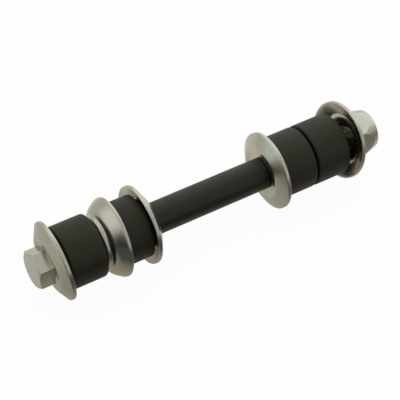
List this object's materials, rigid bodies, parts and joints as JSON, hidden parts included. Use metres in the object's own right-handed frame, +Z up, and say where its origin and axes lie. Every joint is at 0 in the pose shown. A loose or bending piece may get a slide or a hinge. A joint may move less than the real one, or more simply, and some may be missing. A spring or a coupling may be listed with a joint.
{
  "type": "stabilizer link",
  "caption": "Bolt-type stabilizer link: long hex bolt with a lock nut, pressed cup washers, rubber bushings and a black spacer sleeve.",
  "frame": {"origin": "on the bolt's axis, in the plane where the anti-roll bar's eye is clamped, at the plain end of bushing 1", "axes": "+X along the bolt from its head to its nut, +Z up"},
  "size_m": [0.1874, 0.0391, 0.0394],
  "materials": {
    "zinc": "bright zinc plate with a faint yellow and pink tint",
    "rubber": "matt moulded rubber",
    "black_paint": "satin black paint"
  },
  "bodies": {
    "bolt": {"bolt": "zinc"},
    "washer_1": {"washer_1": "zinc"},
    "bushing_1": {"bushing_1": "rubber"},
    "hat_washer": {"hat_washer": "zinc"},
    "bushing_2": {"bushing_2": "rubber"},
    "washer_3": {"washer_3": "zinc"},
    "spacer_sleeve": {"spacer_sleeve": "black_paint"},
    "washer_4": {"washer_4": "zinc"},
    "bushing_3": {"bushing_3": "rubber"},
    "bushing_4": {"bushing_4": "rubber"},
    "washer_5": {"washer_5": "zinc"},
    "nut": {"nut": "zinc"}
  },
  "joints": [
    {"name": "washer_1_spin", "type": "hinge", "parent": "bolt", "child": "washer_1", "pos_m": [-0.02223, 0, 0], "axis": [0.9962, -0.0255, 0.0833], "continuous": true},
    {"name": "bushing_1_spin", "type": "hinge", "parent": "bolt", "child": "bushing_1", "pos_m": [0, 0, 0], "axis": [1, 0, 0], "continuous": true},
    {"name": "hat_washer_spin", "type": "hinge", "parent": "bolt", "child": "hat_washer", "pos_m": [0.00132, 0, 0], "axis": [0.9996, -0.014, -0.0242], "continuous": true},
    {"name": "bushing_2_spin", "type": "hinge", "parent": "bolt", "child": "bushing_2", "pos_m": [0, 0, 0], "axis": [1, 0, 0], "continuous": true},
    {"name": "washer_3_spin", "type": "hinge", "parent": "bolt", "child": "washer_3", "pos_m": [0, 0, 0], "axis": [1, 0, 0], "continuous": true},
    {"name": "spacer_sleeve_spin", "type": "hinge", "parent": "bolt", "child": "spacer_sleeve", "pos_m": [0, 0, 0], "axis": [1, 0, 0], "continuous": true},
    {"name": "washer_4_spin", "type": "hinge", "parent": "bolt", "child": "washer_4", "pos_m": [0, 0, 0], "axis": [1, 0, 0], "continuous": true},
    {"name": "bushing_3_spin", "type": "hinge", "parent": "bolt", "child": "bushing_3", "pos_m": [0, 0, 0], "axis": [1, 0, 0], "continuous": true},
    {"name": "bushing_4_spin", "type": "hinge", "parent": "bolt", "child": "bushing_4", "pos_m": [0, 0, 0], "axis": [1, 0, 0], "continuous": true},
    {"name": "washer_5_slide", "type": "slide", "parent": "bolt", "child": "washer_5", "axis": [1, 0, 0], "range_m": [-0.0014, 0.004]},
    {"name": "nut_turn", "type": "hinge", "parent": "washer_5", "child": "nut", "pos_m": [0, 0, 0], "axis": [1, 0, 0], "range_deg": [-403.2, 1152]}
  ],
  "couplings": [
    {"joint": "nut_turn", "follows": "washer_5_slide", "rad_per_m": 5026.5}
  ]
}
